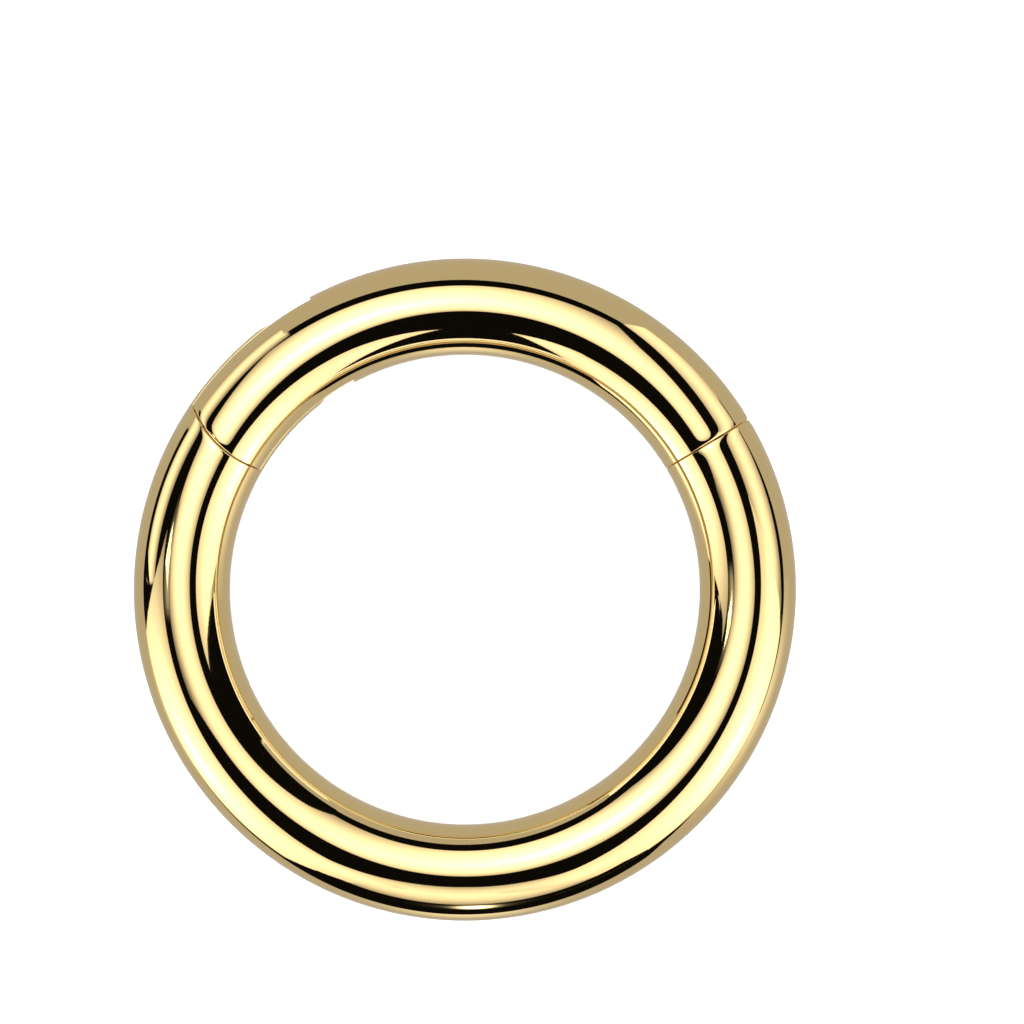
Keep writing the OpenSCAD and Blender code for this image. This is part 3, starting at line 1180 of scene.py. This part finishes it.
class CLICKER_OT_stage(bpy.types.Operator):
    """Makes the floor, the camera and the surroundings that the metal mirrors"""
    bl_idname = "clicker.stage"
    bl_label = "Studio"

    def execute(self, context):
        scene = context.scene
        light = scene.clicker_light
        scene.view_settings.view_transform = "Standard"
        scene.view_settings.look = "None"
        self.floor()
        self.world(scene, light)
        self.softboxes(light)
        self.panels(light)
        self.table(light)
        self.sparks()
        self.flags(light)
        self.strips(scene, light)
        self.camera(scene)
        return {"FINISHED"}

    def camera(self, scene):
        camera = bpy.data.cameras.new("Camera")
        camera.lens, camera.sensor_width = LENS, SENSOR
        camera.clip_start, camera.clip_end = NEAREST, FARTHEST
        holder = bpy.data.objects.new("Camera", camera)
        holder.location = CAMERA
        scene.collection.objects.link(holder)
        scene.camera = holder

    def floor(self):
        material, graph = new_material("pale_floor")
        white = (1, 1, 1)
        mottling = graph.noise(graph.node("ShaderNodeTexCoord")["Object"], MOTTLING)
        shade = graph.blend(mottling, darker(white, 0.985), white)
        shader = graph.node("ShaderNodeBsdfDiffuse", {}, {"Color": shade})
        graph.node("ShaderNodeOutputMaterial", {}, {"Surface": shader})
        mesh = bmesh.new()
        bmesh.ops.create_circle(mesh, cap_ends=True, segments=96, radius=FLOOR_RADIUS)
        data = bpy.data.meshes.new("floor")
        mesh.to_mesh(data)
        mesh.free()
        data.materials.append(material)
        floor = link("floor", data)
        floor.visible_glossy = False
        floor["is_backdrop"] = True

    def world(self, scene, light):
        world = bpy.data.worlds.new("Studio")
        world.use_nodes = True
        # Light sampled straight from the world would take no notice of what kind of ray asks
        world.cycles.sampling_method = "NONE"
        scene.world = world
        graph = Graph(world.node_tree)
        path = graph.node("ShaderNodeLightPath")
        direction = graph.node("ShaderNodeTexCoord")["Generated"]
        height = graph.node("ShaderNodeSeparateXYZ", {}, {0: direction})["Z"]
        mirrored = light.black + (light.table - light.black) * (1 - height.above(0.0))
        strength = path["Is Glossy Ray"] * mirrored + (1 - path["Is Glossy Ray"]) * light.floor
        shader = graph.node("ShaderNodeBackground", {}, {"Color": (1, 1, 1, 1), "Strength": strength})
        graph.node("ShaderNodeOutputWorld", {}, {"Surface": shader})

    def softboxes(self, light):
        """Three softboxes, with a brighter middle where their lamps shine through."""
        place = (0, 45, 106 * MM)
        lamp, level_way = spot(place, 332, 18), level_across(place)
        card("overhead_softbox",
             on_plane(place, (36, 38), (60, 22), (90, 17.5), (120, 15), (150, 11), (180, 9.5), (210, 10.5),
                      (237, 15.5), (248, 29), (270, 32), (300, 46), (320, 62), (30, 54)),
             glow("overhead_light", 0.0, (light.overhead, lamp, 86 * MM, level_way, 65 * MM),
                  (light.lamp, lamp, 14 * MM)), 1.5 * MM)
        place, even = (118, 70, 95 * MM), 0.85
        lamp, level_way = spot(place, 120.5, 70), level_across(place)
        card("right_softbox",
             on_plane(place, (72, 38), (90, 33), (120, 30), (148, 38), (175, 54), (150, 91), (114, 94),
                      (99, 91.5), (92, 80)),
             glow("right_light", even, (light.side_boxes - even, lamp, 56 * MM, level_way, 50 * MM),
                  (light.lamp, lamp, 12 * MM), (0.3, spot(place, 166, 50), 28 * MM),
                  (0.45, spot(place, 157, 61), 16 * MM), (0.4, spot(place, 84, 58), 26 * MM)), 0.5 * MM)
        place, even = (236, 78, 80 * MM), 0.3
        lamp, level_way = spot(place, 236.5, 83.5), level_across(place)
        card("left_softbox",
             on_plane(place, (191, 53), (215, 46), (240, 43), (265, 46), (281, 50), (276, 57), (272, 68),
                      (268, 81), (262, 103), (210, 107)),
             glow("left_light", even, (light.side_boxes - even, lamp, 62 * MM, level_way, 53 * MM),
                  (light.lamp, lamp, 10 * MM), (0.75, spot(place, 197, 56), 18 * MM),
                  (0.45, spot(place, 205, 64), 16 * MM)), 0.5 * MM)

    def panels(self, light):
        """White panels beyond the softboxes, each brightest along a line between two sights."""
        def band(name, place, even, spread, ends, *bells):
            start, end = on_plane(place, *ends)
            across = unit(np.cross(sight(*place[:2]), end - start))
            return glow(name, even, (light.panels - even, start, math.inf, across, spread), *bells)

        place = (60, 70, 200 * MM)
        card("rear_right_panel",
             on_plane(place, (31, 65), (38, 59), (50, 49), (60, 43), (72, 38), (91, 34), (98, 87), (54, 87),
                      (52, 91), (31, 91)),
             band("rear_right_light", place, 0.3, 62 * MM, ((45, 73), (80, 58)),
                  (0.35, spot(place, 86, 71), 36 * MM)), 2 * MM)
        place = (180, 60, 200 * MM)
        card("front_panel",
             on_plane(place, (150, 45), (162, 41), (170, 37), (180, 35), (190, 37), (200, 43), (207, 47),
                      (207, 90), (150, 90)),
             band("front_light", place, 0.1, 80 * MM, ((165, 58), (195, 57.5))), 2 * MM)
        place = (298, 80, 200 * MM)
        card("rear_left_panel",
             on_plane(place, (271, 69), (290, 64), (325, 64), (325, 97), (271, 97)),
             band("rear_left_light", place, 0.0, 53 * MM, ((285, 82), (310, 81))), 2 * MM)
        place = (270, 38, 93 * MM)
        card("dim_panel",
             on_plane(place, (265, 32), (272, 30), (285, 35), (288, 43), (270, 46), (265, 45)),
             glow("dim_light", 0.05, (0.55, spot(place, 273, 36), 8 * MM)), 3 * MM)

    def table(self, light):
        """Tan surroundings at the level of the ring, a little brighter in places."""
        wall = ((-30, 42, -4), (-30, 42, 13), (25, 42, 20.5), (30, 42, -4))
        card("rear_wall", np.array(wall) * MM, glow("tan_light", light.table), 0.3 * MM)
        place = (112, 108, 300 * MM)
        card("right_table", on_plane(place, (88, 96), (143, 96), (143, 125), (88, 125)),
             glow("right_table_light", light.table, (0.5, spot(place, 112, 97), 90 * MM)), 5 * MM)
        place = (240, 108, 300 * MM)
        card("left_table", on_plane(place, (215, 104), (262, 102), (262, 122), (215, 122)),
             glow("left_table_light", light.table, (0.4, spot(place, 245, 103), 50 * MM)), 5 * MM)
        place = (180, 120, 300 * MM)
        card("front_table", on_plane(place, (150, 113), (212, 113), (212, 136), (150, 136)),
             glow("front_table_light", light.table,
                  (0.5, spot(place, 180, 119), 90 * MM, level_across(place), 60 * MM)), 20 * MM)

    def sparks(self):
        """Small bright card that makes the long sparks on the left and the right of the ring."""
        card("rear_left_spark",
             on_plane((270, 38, 93 * MM), (270, 36), (277, 35), (282, 40), (275, 43)),
             glow("spark_light", 5.5), 2 * MM)

    def flags(self, light):
        """Black cards, which make the dark lines near the ring's outline."""
        black = glow("black_light", light.black)
        card("front_black",
             on_plane((178, 98, 60 * MM), (144, 90.5), (208, 90), (212, 100), (214, 105.5), (238, 108),
                      (213, 113.5), (146, 109.5), (142, 101), (134, 95.5)), black, 0.6 * MM)
        card("rear_left_black",
             on_plane((281, 96, 190 * MM), (270, 80), (272, 94), (300, 94), (300, 104), (262, 103),
                      (262, 100)), black, 2 * MM)
        card("right_black",
             on_plane((88, 90, 88 * MM), (61, 87.4), (66, 85.5), (75, 84.5), (84, 84.3), (90, 85),
                      (96, 89.8), (104, 92), (113, 94.3), (113, 96.3), (104, 94.4), (96, 93.9),
                      (84, 94.3), (72, 92.4), (61, 89)), black, 0.4 * MM)

    def strips(self, scene, light):
        """Strips close to the ring, each with its bearings and the two angles that it covers there."""
        black = glow("black_strip", light.black, one_sided=True)
        cream = glow("cream_strip", light.strips, one_sided=True)
        tan = glow("tan_strip", light.table, one_sided=True)
        wire = Wire(scene.clicker_sizes)
        # Each place is a reach from the ring's axis, and the side of the wire that mirrors what is there
        over_hole, past_ring, at_spark = (4 * MM, -1), (14 * MM, 1), (13.9 * MM, 1)
        middle = wire.mirrors(178.2, 91.5, *at_spark)
        spark = glow("front_spark_light", light.black, (7.0, middle, 0.62 * MM, UP, 0.5 * MM),
                     (0.12, middle, 1.6 * MM, UP, 0.6 * MM))
        for name, where, material, columns in (
                ("rear_right_flag", over_hole, black,
                 [(30, 56, 73), (53, 38, 73), (54, 38, 83), (72, 36, 83), (80, 52, 83), (90, 82, 83)]),
                ("front_flag", over_hole, black,
                 [(148, 25, 38), (160, 25, 46), (175, 25, 55), (191, 28, 56), (200, 31, 52), (210, 34, 48)]),
                ("front_wedge", over_hole, black,
                 [(150, 82, 83), (175, 55, 83), (191, 56, 83), (203, 82, 83)]),
                ("rear_left_flag", over_hole, black,
                 [(268, 83, 84), (280, 55, 85), (300, 55, 85), (318, 63, 83), (325, 63, 80)]),
                ("rear_right_shade", over_hole, tan, [(30, 73, 83), (53, 73, 83)]),
                ("rear_right_strip", over_hole, cream, [(33, 83, 87.5), (90, 83, 87.5)]),
                ("front_strip", over_hole, cream, [(150, 83, 87.5), (203, 83, 87.5)]),
                ("front_black_strip", past_ring, black,
                 [(145, 90, 92), (150, 82, 92), (203, 82, 92), (208, 90, 92)]),
                ("front_spark", at_spark, spark, [(164, 83, 99), (191, 83, 99)])):
            self.strip(name, wire, *where, columns, material)

    def strip(self, name, wire, radius, side, columns, material):
        """Strip round the ring's axis that covers what a side of the wire mirrors between two angles."""
        turns, lows, highs = np.array(columns, float).T
        fine = np.unique(np.concatenate([turns, np.arange(turns[0], turns[-1], STRIP_STEP)]))
        points = [tuple(wire.mirrors(turn, np.interp(turn, turns, edge), radius, side))
                  for turn in fine for edge in (lows, highs)]
        faces = [(k, k + 1, k + 3, k + 2) for k in range(0, len(points) - 2, 2)]
        mesh = bpy.data.meshes.new(name)
        mesh.from_pydata(points, [], faces)
        mesh.attributes.new("rim", "FLOAT", "POINT").data.foreach_set("value", [1.0] * len(points))
        mesh.materials.append(material)
        mirrored_only(link(name, mesh))


class CLICKER_PT_panel(bpy.types.Panel):
    """The ring's sizes, finish and light, and the buttons that make it"""
    bl_idname = "CLICKER_PT_panel"
    bl_label = "Hinged segment clicker"
    bl_space_type = "VIEW_3D"
    bl_region_type = "UI"
    bl_category = "Clicker"

    def draw(self, context):
        for group in (context.scene.clicker_sizes, context.scene.clicker_finish,
                      context.scene.clicker_light):
            box = self.layout.box()
            for name in group.__annotations__:
                box.prop(group, name)
        for operator in OPERATORS:
            self.layout.operator(operator.bl_idname)


GROUPS = {"clicker_sizes": RingSizes, "clicker_finish": GoldFinish, "clicker_light": StudioLight}
OPERATORS = (CLICKER_OT_hoop, CLICKER_OT_segment, CLICKER_OT_pins, CLICKER_OT_stage)


def register():
    for kind in (*GROUPS.values(), *OPERATORS, CLICKER_PT_panel):
        bpy.utils.register_class(kind)
    for name, kind in GROUPS.items():
        setattr(bpy.types.Scene, name, PointerProperty(type=kind))


def unregister():
    for name in GROUPS:
        delattr(bpy.types.Scene, name)
    for kind in (CLICKER_PT_panel, *reversed(OPERATORS), *reversed(tuple(GROUPS.values()))):
        bpy.utils.unregister_class(kind)


def main():
    register()
    bpy.ops.clicker.hoop()
    bpy.ops.clicker.segment()
    bpy.ops.clicker.pins()
    bpy.ops.clicker.stage()
    boxes = {"cad": cad_box, "visual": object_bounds()}
    {name: [list(corner) for corner in box] for name, box in boxes.items()}


if __name__ == "__main__":
    main()
